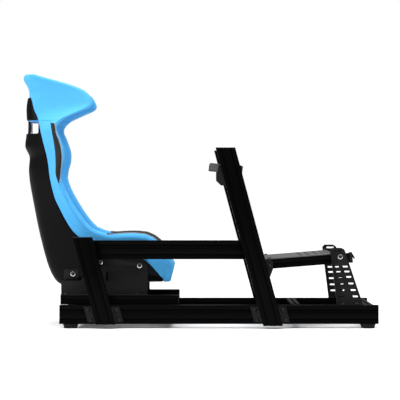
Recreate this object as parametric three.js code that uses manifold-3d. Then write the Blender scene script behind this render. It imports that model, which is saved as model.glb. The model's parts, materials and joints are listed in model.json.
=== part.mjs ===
// Racing cockpit: a bucket seat on a chassis of slotted aluminium profiles, with a wheel deck
// and a pedal deck. Millimetres, +X towards the pedals, +Z up. The lengths along X below are
// measured from the rear end of the base rails, and the whole model is centred at the end.
import * as THREE from 'three';
import { mergeVertices } from 'three/addons/utils/BufferGeometryUtils.js';
import Module from 'manifold-3d';

const wasm = await Module();
wasm.setup();

// ---- driving dimensions ----
const module40 = 40;             // side of the smaller profile, and half of the taller one
const gap = 0.3;                 // clearance between hard pieces that touch
const softGap = 0.8;             // clearance round the upholstery
const railLength = 1350;         // base rails
const innerWidth = 500;          // between the base rails
const footHeight = 18;
const footPlace = { rear: 45, front: 42 };   // foot centres from the rails' ends
const footTopRadius = 35;
const footSoleRadius = 28;

const lean = 15;                 // degrees, all four uprights lean to the rear
const rearUpright = { foot: 154.6, bottom: 18, top: 384 };
const frontUpright = { foot: 862.4, bottom: 12, top: 763 };
const capThickness = 3;
const upperRail = { start: 110, end: 820, bottom: 292.7 };
const crossMemberStarts = [60, 440, 985];    // the first three of them
const frontCrossMember = 56;     // start of the fourth, back from the rails' front end

const seatRailLength = 500;
const seatRailStart = 2;
const bracketLength = 370;
const bracketThickness = 3;
const bracketInset = 41;         // inner face of each seat bracket, in from the base rail
const bracketFlange = 38;
const boltRadius = 4;
const boltHeadRadius = 8;
const boltHeadHeight = 5;
const spacerRadius = 9;          // sleeves between the bracket and the shell
const seatPivot = { x: 336, z: 263 };
const tiltBolt = { x: 168, z: 277 };
const seatTiltDown = 6;          // degrees that the nose of the seat can drop
const seatTiltUp = 4;            // degrees that it can rise

const shellThickness = 6;
const shellCorner = 45;          // radius between the shell's floor and its side walls
const cushionHeight = 42;
const bolsterThickness = 54;
const headPadDepth = 52;
const harnessSlot = { rear: -210, front: -99, inner: 75, outer: 320, bottom: 829, top: 886 };

const wheelPivot = { x: 706, z: 681 };
const wheelPlateDepth = 140;
const wheelPlateThickness = 5;
const wheelPlateRise = 14;       // top of the wheel plate above its pivot
const wheelFlangeHeight = 30;
const wheelPlateSlope = 5.5;     // degrees, falling towards the pedals
const wheelSidePlate = 6;

const pedalPivot = { x: 892, z: 262 };
const pedalDeckSlope = 4.6;      // degrees, rising towards the pedals
const pedalRailLength = 352;
const pedalDeckStart = { x: 880, z: 289 };   // rear end of the pedal deck's rails, at their top
const pedalPlateLength = 290;
const pedalPlateOverhang = 6;    // past the rails' rear ends
const pedalSlotPlaces = [151, 184, 220, 248, 268];
const pedalSlotMargin = 45;      // from a slot's end to the plate's edge
const pedalSlotWidth = 6;
const pedalPlateThickness = 4;
const pedalTower = { thickness: 3, inset: 3, top: 340 };
const gussetThickness = 4;
const latch = { thickness: 13, above: 3, height: 45, inset: 2, lever: 11 };
const pedalDeckInset = 5;        // pedal deck's side, in from the base rail

// ---- values worked out from them ----
const radians = THREE.MathUtils.degToRad;
const tall = 2 * module40;
const railBottom = footHeight;
const railTop = railBottom + tall;
const railInner = innerWidth / 2;
const railOuter = railInner + module40;
const bracketInnerFace = railInner - bracketInset;
const towerFace = railInner - pedalTower.inset;
const pedalDeckHalfWidth = railInner - pedalDeckInset;
const seatRailTop = railTop + module40;
const sides = [['left', 1], ['right', -1]];

const group = new THREE.Group();

const finishes = {
  anodised: { color: 0x101113, roughness: 0.42, metalness: 0.85 },
  steel: { color: 0x17181a, roughness: 0.55, metalness: 0.4 },
  zinc: { color: 0x9a9ca0, roughness: 0.3, metalness: 1 },
  plastic: { color: 0x0d0d0e, roughness: 0.6, metalness: 0 },
  rubber: { color: 0x0b0b0b, roughness: 0.85, metalness: 0 },
  shell: { color: 0x121314, roughness: 0.22, metalness: 0.05 },
  blueFabric: { color: 0x3fa9f0, roughness: 0.8, metalness: 0 },
  greyPlate: { color: 0x85888c, roughness: 0.5, metalness: 0.6 },
};

function add(name, geometry, finish) {
  const mesh = new THREE.Mesh(geometry, new THREE.MeshStandardMaterial(finishes[finish]));
  mesh.name = name;
  group.add(mesh);
  return mesh;
}

// ---- solids ----
function weld(geometry) {
  const bare = geometry.clone();
  bare.deleteAttribute('normal');
  bare.deleteAttribute('uv');
  return mergeVertices(bare, 1e-4);
}

function solid(geometry) {
  const welded = weld(geometry);
  return new wasm.Manifold(new wasm.Mesh({
    numProp: 3,
    vertProperties: new Float32Array(welded.attributes.position.array),
    triVerts: new Uint32Array(welded.index.array),
  }));
}

function fromSolid(manifold) {
  const mesh = manifold.getMesh();
  const geometry = new THREE.BufferGeometry();
  geometry.setAttribute('position', new THREE.BufferAttribute(mesh.vertProperties, 3));
  geometry.setIndex(new THREE.BufferAttribute(mesh.triVerts, 1));
  return geometry;
}

function cut(geometry, ...tools) {
  return fromSolid(tools.reduce((body, tool) => body.subtract(solid(tool)), solid(geometry)));
}

function join(...geometries) {
  return fromSolid(geometries.map(solid).reduce((body, other) => body.add(other)));
}

// A box between two corners
function box(low, high) {
  const size = high.map((value, axis) => value - low[axis]);
  const middle = high.map((value, axis) => (value + low[axis]) / 2);
  return new THREE.BoxGeometry(...size).translate(...middle);
}

function outline(points) {
  return new THREE.Shape(points.map(([x, z]) => new THREE.Vector2(x, z)));
}

// A slot with round ends, in the outline's own plane
function slotHole(x, z, length, width, angle = 0) {
  const radius = width / 2;
  const reach = length / 2 - radius;
  const points = [];
  for (const end of [1, -1]) {
    for (let step = 0; step <= 3; step++) {
      const turn = -end * Math.PI / 2 + (step * Math.PI) / 3;
      points.push(new THREE.Vector2(end * reach + radius * Math.cos(turn), radius * Math.sin(turn)));
    }
  }
  points.forEach((point) => point.rotateAround(new THREE.Vector2(), radians(angle)));
  return new THREE.Path(points.map((point) => point.add(new THREE.Vector2(x, z))));
}

// A plate in the XZ plane, from the face at yLow to the face at yHigh
function plate(shape, yLow, yHigh) {
  const flat = new THREE.ExtrudeGeometry(shape, { depth: yHigh - yLow, bevelEnabled: false });
  return flat.rotateX(Math.PI / 2).translate(0, yHigh, 0);
}

// A box on the left or the right side, with its Y given by distances from the centre plane
function sideBox(side, low, high) {
  const corners = side > 0 ? [low, high] : [[low[0], -high[1], low[2]], [high[0], -low[1], high[2]]];
  return box(...corners);
}

// The same plate on the left or the right side, given by distances from the centre plane
function sidePlate(shape, side, near, far) {
  return side > 0 ? plate(shape, near, far) : plate(shape, -far, -near);
}

// ---- slotted aluminium profiles ----
// The section has one T-slot in the middle of each 40 mm stretch of every face.
function profileShape(width, height) {
  const mouth = 4;
  const lip = 4.5;
  const chamber = 8;
  const depth = 10;
  const corner = 2;
  const tooth = [[-mouth, 0], [-mouth, lip], [-chamber, lip], [-chamber, depth],
    [chamber, depth], [chamber, lip], [mouth, lip], [mouth, 0]];
  const faces = [
    { from: [0, 0], along: [1, 0], inward: [0, 1], length: width },
    { from: [width, 0], along: [0, 1], inward: [-1, 0], length: height },
    { from: [width, height], along: [-1, 0], inward: [0, -1], length: width },
    { from: [0, height], along: [0, -1], inward: [1, 0], length: height },
  ];
  const points = [];
  for (const { from, along, inward, length } of faces) {
    const spot = (run, into) => points.push([
      from[0] + along[0] * run + inward[0] * into - width / 2,
      from[1] + along[1] * run + inward[1] * into - height / 2]);
    spot(corner, 0);
    for (let middle = module40 / 2; middle < length; middle += module40) {
      tooth.forEach(([run, into]) => spot(middle + run, into));
    }
    spot(length - corner, 0);
  }
  return outline(points);
}

function profileAlongX(width, height, start, length, y, z) {
  const bar = new THREE.ExtrudeGeometry(profileShape(width, height), { depth: length, bevelEnabled: false });
  const turn = new THREE.Matrix4().set(0, 0, 1, start, 1, 0, 0, y, 0, 1, 0, z, 0, 0, 0, 1);
  return bar.applyMatrix4(turn);
}

function profileAlongY(width, height, halfLength, x, z) {
  const depth = 2 * halfLength;
  const bar = new THREE.ExtrudeGeometry(profileShape(width, height), { depth, bevelEnabled: false });
  return bar.rotateX(Math.PI / 2).translate(x, halfLength, z);
}

// A leaning profile whose two ends are sawn level: its level section is stretched along X
const leanStretch = 1 / Math.cos(radians(lean));
const leanShift = Math.tan(radians(lean));
const uprightWidth = tall * leanStretch;

function leaning(geometry, bottom) {
  const shear = new THREE.Matrix4().makeShear(0, 0, 0, 0, -leanShift, 0);
  return geometry.translate(0, 0, -bottom).applyMatrix4(shear).translate(0, 0, bottom);
}

function upright({ foot, bottom, top }, y) {
  const shape = profileShape(tall, module40);
  const bar = new THREE.ExtrudeGeometry(shape, { depth: top - bottom, bevelEnabled: false });
  bar.scale(leanStretch, 1, 1).translate(foot + uprightWidth / 2, y, bottom);
  return leaning(bar, bottom);
}

// Rear edge of an upright at a height
const uprightRear = ({ foot, bottom }, z) => foot - leanShift * (z - bottom);

// ---- chassis ----
// The front posts stand on both sides. The rear post and the upper rail it carries make an arm on
// the driver's right only.
const posts = [
  { place: 'front', post: frontUpright, on: sides },
  { place: 'rear', post: rearUpright, on: sides.slice(1) },
];
for (const [label, side] of sides) {
  const railY = side * (railInner + module40 / 2);
  add(`base_rail_${label}`,
    profileAlongX(module40, tall, 0, railLength, railY, railBottom + tall / 2), 'anodised');
  add(`seat_rail_${label}`, profileAlongX(module40, module40, seatRailStart, seatRailLength,
    side * (railInner - module40 / 2 - gap), railTop + gap + module40 / 2), 'anodised');
  for (const [place, x] of [['rear', footPlace.rear], ['front', railLength - footPlace.front]]) {
    const foot = new THREE.LatheGeometry([
      [0, 0], [footSoleRadius - 2, 0], [footSoleRadius, 2], [footTopRadius - 2, footHeight - 4],
      [footTopRadius - 2, footHeight - gap], [0, footHeight - gap],
    ].map(([radius, height]) => new THREE.Vector2(radius, height)), 20);
    add(`${place}_foot_${label}`, foot.rotateX(Math.PI / 2).translate(x, railY, 0), 'rubber');
  }
}

for (const { place, post, on } of posts) {
  for (const [label, side] of on) {
    const y = side * (railOuter + gap + module40 / 2);
    add(`${place}_upright_${label}`, upright(post, y), 'anodised');
    const cap = new THREE.BoxGeometry(uprightWidth, module40, capThickness);
    cap.translate(uprightRear(post, post.top) + uprightWidth / 2, y, post.top + gap + capThickness / 2);
    add(`${place}_upright_cap_${label}`, cap, 'plastic');
  }
}
for (const [label, side] of posts[1].on) {
  add(`upper_rail_${label}`, profileAlongX(module40, tall, upperRail.start, upperRail.end - upperRail.start,
    side * (railInner + module40 / 2), upperRail.bottom + tall / 2), 'anodised');
}

const memberStarts = [...crossMemberStarts, railLength - frontCrossMember];
['rear', 'seat', 'middle', 'front'].forEach((place, index) => {
  const x = memberStarts[index] + module40 / 2;
  add(`${place}_cross_member`,
    profileAlongY(module40, tall, railInner - gap, x, railBottom + tall / 2), 'anodised');
});

// A bent angle bracket: one leg on the base rail's outer face, one against the upright
const angleLeg = 34;
const angleThickness = 4;
function angleBracket(post, facing, side) {
  const low = railBottom + 8;
  const high = railTop - 6;
  const edge = (z) => uprightRear(post, z) + (facing > 0 ? uprightWidth + gap : -gap);
  const quad = (near, far) => outline([[edge(low) + facing * near, low], [edge(low) + facing * far, low],
    [edge(high) + facing * far, high], [edge(high) + facing * near, high]]);
  const legOnRail = sidePlate(quad(0, angleLeg), side, railOuter + gap, railOuter + gap + angleThickness);
  const legOnPost = sidePlate(quad(0, angleThickness), side, railOuter + gap, railOuter + module40 - 4);
  return join(legOnRail, legOnPost);
}
for (const { place, post, on } of posts) {
  for (const [label, side] of on) {
    add(`${place}_angle_behind_${label}`, angleBracket(post, -1, side), 'steel');
    add(`${place}_angle_ahead_${label}`, angleBracket(post, 1, side), 'steel');
  }
}

// A button-head bolt along Y, from its shank's end to its seat, with the head beyond the seat. It
// may carry a sleeve at the shank's end, which keeps two parts apart.
function bolt(x, z, end, seat, sleeve = 0) {
  const length = Math.abs(seat - end);
  const shank = boltRadius - gap;
  const bottom = sleeve > 0 ? [[0, 0], [spacerRadius, 0], [spacerRadius, sleeve]] : [[0, 0]];
  const profile = [...bottom, [shank, sleeve], [shank, length], [boltHeadRadius, length],
    [boltHeadRadius, length + boltHeadHeight * 0.4], [boltHeadRadius * 0.6, length + boltHeadHeight],
    [0, length + boltHeadHeight]];
  const turned = new THREE.LatheGeometry(profile.map(([r, h]) => new THREE.Vector2(r, h)), 16);
  if (seat < end) turned.rotateX(Math.PI);
  return turned.translate(x, end, z);
}

// ---- seat side brackets, which slide along the seat rails ----
const bracketOuterFace = bracketInnerFace + bracketThickness;
const bracketBottom = seatRailTop + 2 * gap;
const tiltRadius = Math.hypot(tiltBolt.x - seatPivot.x, tiltBolt.z - seatPivot.z);
// angle of the tilt bolt about the pivot, which falls as the rear of the seat rises
const tiltAngle = Math.atan2(tiltBolt.z - seatPivot.z, tiltBolt.x - seatPivot.x);

// The curved slot that the tilt bolt travels in, with room for the bolt at both ends
function tiltSlot() {
  const ends = [tiltAngle - radians(seatTiltDown), tiltAngle + radians(seatTiltUp)];
  const points = [];
  const onArc = (angle, radius) => points.push(new THREE.Vector2(
    seatPivot.x + radius * Math.cos(angle), seatPivot.z + radius * Math.sin(angle)));
  const margin = (boltRadius + 0.5) / tiltRadius;
  const half = boltRadius + 0.3;
  for (let step = 0; step <= 6; step++) {
    onArc(ends[0] - margin + (step / 6) * (ends[1] - ends[0] + 2 * margin), tiltRadius + half);
  }
  for (let step = 6; step >= 0; step--) {
    onArc(ends[0] - margin + (step / 6) * (ends[1] - ends[0] + 2 * margin), tiltRadius - half);
  }
  return new THREE.Path(points);
}

function roundHole(x, z, radius) {
  return new THREE.Path().absarc(x, z, radius, 0, 2 * Math.PI);
}

function seatBracket(side) {
  const shape = outline([[0, bracketBottom], [bracketLength, bracketBottom],
    [bracketLength, 262], [bracketLength - 12, 286], [bracketLength - 34, 300],
    [150, 318], [124, 310], [96, 214], [84, 198], [0, 198]]);
  shape.holes.push(tiltSlot(), roundHole(seatPivot.x, seatPivot.z, boltRadius),
    slotHole(196, 217, 42, 8, 90));
  const web = sidePlate(shape, side, bracketInnerFace, bracketOuterFace);
  const flange = sideBox(side, [0, bracketInnerFace + 1, bracketBottom],
    [bracketLength, bracketInnerFace + bracketFlange, bracketBottom + bracketThickness]);
  return join(web, flange);
}
sides.forEach(([label, side]) => add(`seat_bracket_${label}`, seatBracket(side), 'steel'));

// ---- bucket seat ----
// Stations run from the front lip under the thighs, round the hips and up the back to the head.
// Each gives the shell's spine point, the point on the seat's rim that faces it, the share of the
// way up the wall where the bare shell ends and the upholstery starts, and two half widths.
const stations = [
  { spine: [468, 192], rim: [486, 262], seam: 0, floor: 172, top: 184 },
  { spine: [436, 190], rim: [460, 308], seam: 0.101, floor: 180, top: 196 },
  { spine: [392, 189], rim: [421, 363], seam: 0.321, floor: 186, top: 207 },
  { spine: [335, 186], rim: [362, 398], seam: 0.514, floor: 189, top: 214 },
  { spine: [255, 182], rim: [278, 403], seam: 0.598, floor: 189, top: 215 },
  { spine: [180, 178], rim: [223, 400], seam: 0.675, floor: 189, top: 215 },
  { spine: [100, 174], rim: [184, 404], seam: 0.776, floor: 189, top: 217 },
  { spine: [30, 172], rim: [151, 416], seam: 0.797, floor: 186, top: 219 },
  { spine: [-16, 179], rim: [124, 433], seam: 0.786, floor: 180, top: 221 },
  { spine: [-48, 220], rim: [97, 464], seam: 0.743, floor: 174, top: 224 },
  { spine: [-74, 290], rim: [67, 507], seam: 0.716, floor: 167, top: 227 },
  { spine: [-97, 380], rim: [41, 550], seam: 0.695, floor: 162, top: 232 },
  { spine: [-115, 465], rim: [18, 593], seam: 0.666, floor: 162, top: 239 },
  { spine: [-130, 547], rim: [2, 638], seam: 0.672, floor: 164, top: 248 },
  { spine: [-142, 612], rim: [3, 668], seam: 0.639, floor: 166, top: 255 },
  { spine: [-148, 680], rim: [14, 706], seam: 0.579, floor: 168, top: 262 },
  { spine: [-142, 730], rim: [17, 743], seam: 0.502, floor: 169, top: 266 },
  { spine: [-163, 768], rim: [9, 780], seam: 0.528, floor: 170, top: 266 },
  { spine: [-160, 805], rim: [-6, 820], seam: 0.506, floor: 168, top: 262 },
  { spine: [-156, 838], rim: [-17, 855], seam: 0.468, floor: 165, top: 252 },
  { spine: [-155, 880], rim: [20, 895], seam: 0.311, floor: 160, top: 236 },
  { spine: [-158, 920], rim: [117, 937], seam: 0.151, floor: 154, top: 214 },
  { spine: [-157, 955], rim: [134, 958], seam: 0.105, floor: 149, top: 203 },
  { spine: [-152, 985], rim: [124, 987], seam: 0.059, floor: 146, top: 196 },
  { spine: [-153, 1012], rim: [96, 1017], seam: 0, floor: 143, top: 188 },
  { spine: [-164, 1040], rim: [22, 1046], seam: 0, floor: 140, top: 174 },
  { spine: [-179, 1066], rim: [-66, 1071], seam: 0, floor: 137, top: 158 },
  { spine: [-172, 1087], rim: [-120, 1087], seam: 0, floor: 134, top: 146 },
];
const lipEnd = 1;        // station numbers where one piece of the seat stops and the next starts
const hipSplit = 7.5;
const backTop = 18.5;
const headStart = 20;
const shellTop = 23;
const stationGap = 0.02;

const smooth = (pick) => new THREE.CatmullRomCurve3(
  stations.map((station) => new THREE.Vector3(...pick(station))), false, 'catmullrom', 0.5);
const spineCurve = smooth(({ spine, seam }) => [spine[0], spine[1], seam]);
const rimCurve = smooth(({ rim }) => [rim[0], rim[1], 0]);
const widthCurve = smooth(({ floor, top }) => [floor, top, 0]);

// Everything a section needs at a station number, which may lie between two stations
function sectionAt(number) {
  const at = number / (stations.length - 1);
  const spine = spineCurve.getPoint(at);
  const rim = rimCurve.getPoint(at);
  const width = widthCurve.getPoint(at);
  const wall = Math.hypot(rim.x - spine.x, rim.y - spine.y);
  return {
    spine, wall, floor: width.x, top: width.y,
    seam: Math.max(spine.z * wall, shellThickness + 4),
    toRim: [(rim.x - spine.x) / wall, (rim.y - spine.y) / wall],
  };
}

// Half width of the seat at a depth above its spine, offset inwards from the outer surface
function halfWidth(section, depth, offset = 0) {
  const flare = (section.top - section.floor) * depth / section.wall;
  const rise = Math.min(depth - shellCorner, 0);
  const radius = shellCorner - offset;
  return section.floor - shellCorner + flare + Math.sqrt(Math.max(radius ** 2 - rise ** 2, 0));
}

// Points up the wall between two depths, closer together in the rounded corner
function wallPoints(section, offset, from, to, steps) {
  return Array.from({ length: steps + 1 }, (_, step) => {
    const depth = from + (to - from) * (step / steps) ** 2;
    return [halfWidth(section, depth, offset), depth];
  });
}

// Places a section's outline in space at a station number
function placed(number, ring) {
  const section = sectionAt(number);
  return ring(section).map(([y, depth]) => new THREE.Vector3(
    section.spine.x + section.toRim[0] * depth, y, section.spine.y + section.toRim[1] * depth));
}

// Skin over closed sections with equal point counts. Facing pieces list their points in the same
// direction, so that their quads are split along the same diagonal. A section off the grid of
// stations lies on the straight line between its neighbours, so that facing pieces are faceted alike.
const stationStep = 0.5;
function loft(numbers, ring) {
  const positions = [];
  const flats = numbers.map((number) => {
    const low = Math.floor(number / stationStep) * stationStep;
    const share = (number - low) / stationStep;
    const before = placed(low, ring);
    const after = share > 0 ? placed(low + stationStep, ring) : before;
    const points = before.map((point, k) => point.lerp(after[k], share));
    points.forEach((point) => positions.push(...point));
    return ring(sectionAt(number)).map(([y, depth]) => new THREE.Vector2(y, depth));
  });
  const count = flats[0].length;
  const index = [];
  for (let row = 0; row < flats.length - 1; row++) {
    for (let k = 0; k < count; k++) {
      const next = (k + 1) % count;
      const [a, b] = [row * count + k, row * count + next];
      index.push(a, b, b + count, a, b + count, a + count);
    }
  }
  const start = THREE.ShapeUtils.triangulateShape(flats[0], []);
  const finish = THREE.ShapeUtils.triangulateShape(flats[flats.length - 1], []);
  const last = (flats.length - 1) * count;
  const winding = Math.sign(THREE.ShapeUtils.area(flats[0]));
  start.forEach(([a, b, c]) => index.push(...(winding > 0 ? [a, c, b] : [a, b, c])));
  finish.forEach(([a, b, c]) => index.push(...(winding > 0 ? [a, b, c] : [a, c, b]).map((i) => i + last)));
  return outward(positions, index);
}

// Builds the geometry with its faces turned outwards, whichever way its sections run
function outward(positions, index) {
  let volume = 0;
  const corner = (i) => new THREE.Vector3(...positions.slice(3 * i, 3 * i + 3));
  for (let k = 0; k < index.length; k += 3) {
    volume += corner(index[k]).dot(corner(index[k + 1]).cross(corner(index[k + 2])));
  }
  if (volume < 0) {
    for (let k = 0; k < index.length; k += 3) {
      [index[k + 1], index[k + 2]] = [index[k + 2], index[k + 1]];
    }
  }
  const geometry = new THREE.BufferGeometry();
  geometry.setAttribute('position', new THREE.Float32BufferAttribute(positions, 3));
  geometry.setIndex(index);
  return geometry;
}

// Station numbers from one to another: the two ends, and every half number between them, so
// that the pieces lying on each other are faceted in the same places
function range(from, to, step = stationStep) {
  const numbers = [from];
  for (let k = Math.floor(from / step) + 1; k * step < to; k++) {
    numbers.push(k * step);
  }
  return [...numbers, to];
}

// The upholstery's face against the shell's inside: the shell's own points, moved off it by the
// soft clearance, and a last one just above the bare shell's edge
function againstShell(section) {
  const points = wallPoints(section, shellThickness, shellThickness, section.seam, 5).map(([y, depth]) => {
    const up = Math.max(shellCorner - depth, 0);
    const across = up > 0 ? halfWidth(section, depth, shellCorner) - y : -1;
    const length = Math.hypot(across, up);
    return [y + softGap * across / length, depth + softGap * up / length];
  });
  const step = section.seam + softGap;
  return [...points, [halfWidth(section, step, shellThickness) - softGap, step]];
}

const mirrored = (half) => [...half, ...half.map(([y, depth]) => [-y, depth]).reverse()];
const padOffset = shellThickness + softGap;

function shellRing(section) {
  const outer = wallPoints(section, 0, 0, section.seam, 5);
  const inner = wallPoints(section, shellThickness, shellThickness, section.seam, 5).reverse();
  return mirrored([...outer, ...inner]);
}

function bolsterRing(section) {
  const edge = 20;
  const step = section.seam + softGap;
  const inside = halfWidth(section, section.wall * 0.5, padOffset) - bolsterThickness;
  const floorEdge = section.floor - shellCorner;
  return [
    ...againstShell(section),
    [halfWidth(section, step), step],
    [halfWidth(section, (step + section.wall - edge) / 2), (step + section.wall - edge) / 2],
    [section.top, section.wall - edge],
    [section.top - edge * 0.3, section.wall - edge * 0.3],
    [section.top - edge, section.wall],
    [section.top - bolsterThickness + 10, section.wall - edge * 0.3],
    [section.top - bolsterThickness, section.wall - edge],
    [inside, section.wall * 0.5],
    [floorEdge, padOffset + cushionHeight + 16],
  ];
}

function padRing(height, narrowing = 0) {
  return (section) => {
    const half = section.floor - shellCorner - 4 * gap - narrowing;
    const low = padOffset;
    const high = padOffset + height;
    return mirrored([[half, low], [half, high - 12], [half - 14, high], [half * 0.4, high - 5]]);
  };
}

function headRing(section) {
  const edge = Math.min(20, section.wall * 0.2);
  const step = section.seam + softGap;
  const sideHeight = section.wall - edge - step;
  const wing = Math.min(bolsterThickness - 8, section.top * 0.3);
  const back = Math.min(headPadDepth, section.wall * 0.55);
  return mirrored([
    ...againstShell(section),
    [halfWidth(section, step), step],
    [halfWidth(section, step + sideHeight * 0.2), step + sideHeight * 0.2],
    [halfWidth(section, step + sideHeight / 2), step + sideHeight / 2],
    [section.top, section.wall - edge],
    [section.top - edge * 0.3, section.wall - edge * 0.3],
    [section.top - edge, section.wall],
    [section.top - wing + edge * 0.3, section.wall - edge * 0.3],
    [section.top - wing, section.wall - edge],
    [halfWidth(section, section.wall * 0.5) - wing - 4, Math.max(section.wall * 0.5, back + 12)],
    [section.floor - shellCorner - 12, back + 6],
    [section.floor * 0.3, back],
  ]).reverse();
}

function lipRing(section) {
  const edge = 20;
  return mirrored([
    [section.floor - edge, 0],
    [section.floor, edge],
    [section.top, section.wall - edge],
    [section.top - edge, section.wall],
    [section.top - bolsterThickness, section.wall - edge * 0.5],
    [section.floor * 0.4, section.wall * 0.72],
  ]);
}

// The two openings that the shoulder straps of a harness pass through
const { rear, front, inner, outer, bottom, top } = harnessSlot;
const harnessCuts = sides.map(([, side]) => {
  return sideBox(side, [rear, inner, bottom], [front, outer, top]);
});

add('seat_shell', cut(loft(range(lipEnd + stationGap, shellTop), shellRing), ...harnessCuts), 'shell');
add('seat_front_roll', loft(range(0, lipEnd - stationGap, 0.25), lipRing), 'blueFabric');
const thighStations = range(lipEnd + stationGap, hipSplit - stationGap);
add('seat_cushion', loft(thighStations, padRing(cushionHeight)), 'blueFabric');
add('back_cushion', loft(range(hipSplit + stationGap, backTop), padRing(cushionHeight)), 'blueFabric');
add('headrest', loft(range(headStart + stationGap, stations.length - 1), headRing), 'blueFabric');
sides.forEach(([label, side], k) => {
  const ring = (section) => {
    const points = bolsterRing(section).map(([y, depth]) => [side * y, depth]);
    return side > 0 ? points.reverse() : points;
  };
  add(`thigh_bolster_${label}`, loft(thighStations, ring), 'blueFabric');
  const torso = loft(range(hipSplit + stationGap, headStart - stationGap), ring);
  add(`torso_bolster_${label}`, cut(torso, harnessCuts[k]), 'blueFabric');
});

// Half width of the shell's outside at a point of its side wall
function shellSideAt(x, z) {
  let nearest = { miss: Infinity };
  for (let number = lipEnd; number < hipSplit; number += 0.02) {
    const { spine, toRim, ...section } = sectionAt(number);
    const [alongX, alongZ] = [x - spine.x, z - spine.y];
    const miss = Math.abs(alongX * toRim[1] - alongZ * toRim[0]);
    if (miss < nearest.miss) {
      nearest = { miss, half: halfWidth(section, alongX * toRim[0] + alongZ * toRim[1]) };
    }
  }
  return nearest.half;
}

// The seat's four bolts. Each has a sleeve from the shell's side to the bracket.
for (const [label, side] of sides) {
  for (const [name, { x, z }] of [['pivot', seatPivot], ['tilt', tiltBolt]]) {
    const end = shellSideAt(x, z + spacerRadius) + gap;
    const sleeve = bracketInnerFace - gap - end;
    add(`seat_${name}_bolt_${label}`,
      bolt(x, z, side * end, side * (bracketOuterFace + gap), sleeve), 'zinc');
  }
}

// ---- wheel deck: two side plates clamped to the front uprights, and the folded plate between ----
const wheelPlateFace = railOuter - wheelSidePlate;       // inner face of the side plates
const wheelFlangeFace = wheelPlateFace - 2 * gap;        // outer face of the folded plate

function wheelDeckPlate() {
  const half = wheelPlateDepth / 2;
  const wall = wheelPlateThickness;
  const top = wheelPlateRise;
  const bottom = top - wheelFlangeHeight;
  const sheet = box([-half, -wheelFlangeFace, top - wall], [half, wheelFlangeFace, top]);
  const flange = outline([[-half, bottom], [half, bottom], [half, top], [-half, top]]);
  flange.holes.push(roundHole(0, 0, boltRadius));
  const flanges = [plate(flange.clone(), wheelFlangeFace - wall, wheelFlangeFace),
    plate(flange.clone(), -wheelFlangeFace, wall - wheelFlangeFace)];
  return join(sheet, ...flanges).rotateY(radians(wheelPlateSlope)).translate(wheelPivot.x, 0, wheelPivot.z);
}
add('wheel_plate', wheelDeckPlate(), 'greyPlate');

for (const [label, side] of sides) {
  const corners = [[-32, 10], [-37, -16], [-37, -52], [-15, -74], [26, -76], [66, -42], [70, 4], [58, 12]];
  const shape = outline(corners.map(([x, z]) => [wheelPivot.x + x, wheelPivot.z + z]));
  shape.holes.push(roundHole(wheelPivot.x, wheelPivot.z, boltRadius));
  add(`wheel_side_plate_${label}`, sidePlate(shape, side, wheelPlateFace, railOuter), 'steel');
  add(`wheel_pivot_bolt_${label}`, bolt(wheelPivot.x, wheelPivot.z, side * (railOuter - 1),
    side * (wheelFlangeFace - wheelPlateThickness - gap)), 'zinc');
}

// ---- pedal deck: a frame that hinges on the front uprights between two slotted towers ----
const pedalRailMiddle = pedalDeckHalfWidth - module40 / 2;
const onPedalDeck = (geometry) => geometry.rotateY(-radians(pedalDeckSlope)).translate(
  pedalDeckStart.x, 0, pedalDeckStart.z);

const pedalSheet = outline([[0, -1], [1, -1], [1, 1], [0, 1]].map(([along, across]) => [
  along * pedalPlateLength - pedalPlateOverhang, across * pedalDeckHalfWidth]));
for (const along of pedalSlotPlaces) {
  pedalSheet.holes.push(slotHole(along, 0, 2 * (pedalDeckHalfWidth - pedalSlotMargin), pedalSlotWidth, 90));
}
const pedalPlate = new THREE.ExtrudeGeometry(pedalSheet, { depth: pedalPlateThickness, bevelEnabled: false });
add('pedal_plate', onPedalDeck(pedalPlate.translate(0, 0, gap)), 'greyPlate');
add('pedal_cross_rail', onPedalDeck(profileAlongY(module40, module40,
  pedalDeckHalfWidth - module40 - gap, pedalRailLength - 1.5 * module40, -module40 / 2)), 'anodised');

// Slotted tower: its rear edge leans a little, its front edge more, and each row of slots follows
const towerFoot = { rear: 1178, front: 1290 };
const towerShoulder = { rear: 1148, front: 1208 };
const towerSlotRows = [260, 239, 216, 188, 160, 133];
const towerEdge = (edge, z) => THREE.MathUtils.mapLinear(
  z, railTop, pedalTower.top, towerFoot[edge], towerShoulder[edge]);
const towerRearEdge = (z) => towerEdge('rear', z);
const towerFrontEdge = (z) => towerEdge('front', z);

function pedalTowerPlate(side) {
  const { top, thickness } = pedalTower;
  const face = towerFace;
  const low = railTop + gap;
  const shape = outline([[towerRearEdge(low), low], [towerFrontEdge(low), low],
    [towerFrontEdge(top - 10), top - 10], [towerFrontEdge(top) - 10, top],
    [towerRearEdge(top) + 10, top], [towerRearEdge(top - 10), top - 10]]);
  shape.holes.push(slotHole((towerShoulder.rear + towerShoulder.front) / 2 + 6, top - 13, 34, 7));
  for (const z of towerSlotRows) {
    const split = towerFrontEdge(z) - 38;
    shape.holes.push(slotHole(towerFrontEdge(z) - 24, z, 28, 7));
    const length = Math.min(28, split - 10 - (towerRearEdge(z) + 12));
    shape.holes.push(slotHole(towerRearEdge(z) + 12 + length / 2, z, length, 7));
  }
  const web = sidePlate(shape, side, face, face + thickness);
  const high = top - 12;
  const rearFlange = sidePlate(outline([[towerRearEdge(low), low], [towerRearEdge(low) + thickness, low],
    [towerRearEdge(high) + thickness, high], [towerRearEdge(high), high]]), side, face, face + 18);
  const foot = sideBox(side, [towerRearEdge(low), face + 1, low],
    [towerFrontEdge(low), face + 32, low + thickness]);
  return join(web, rearFlange, foot);
}

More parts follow.
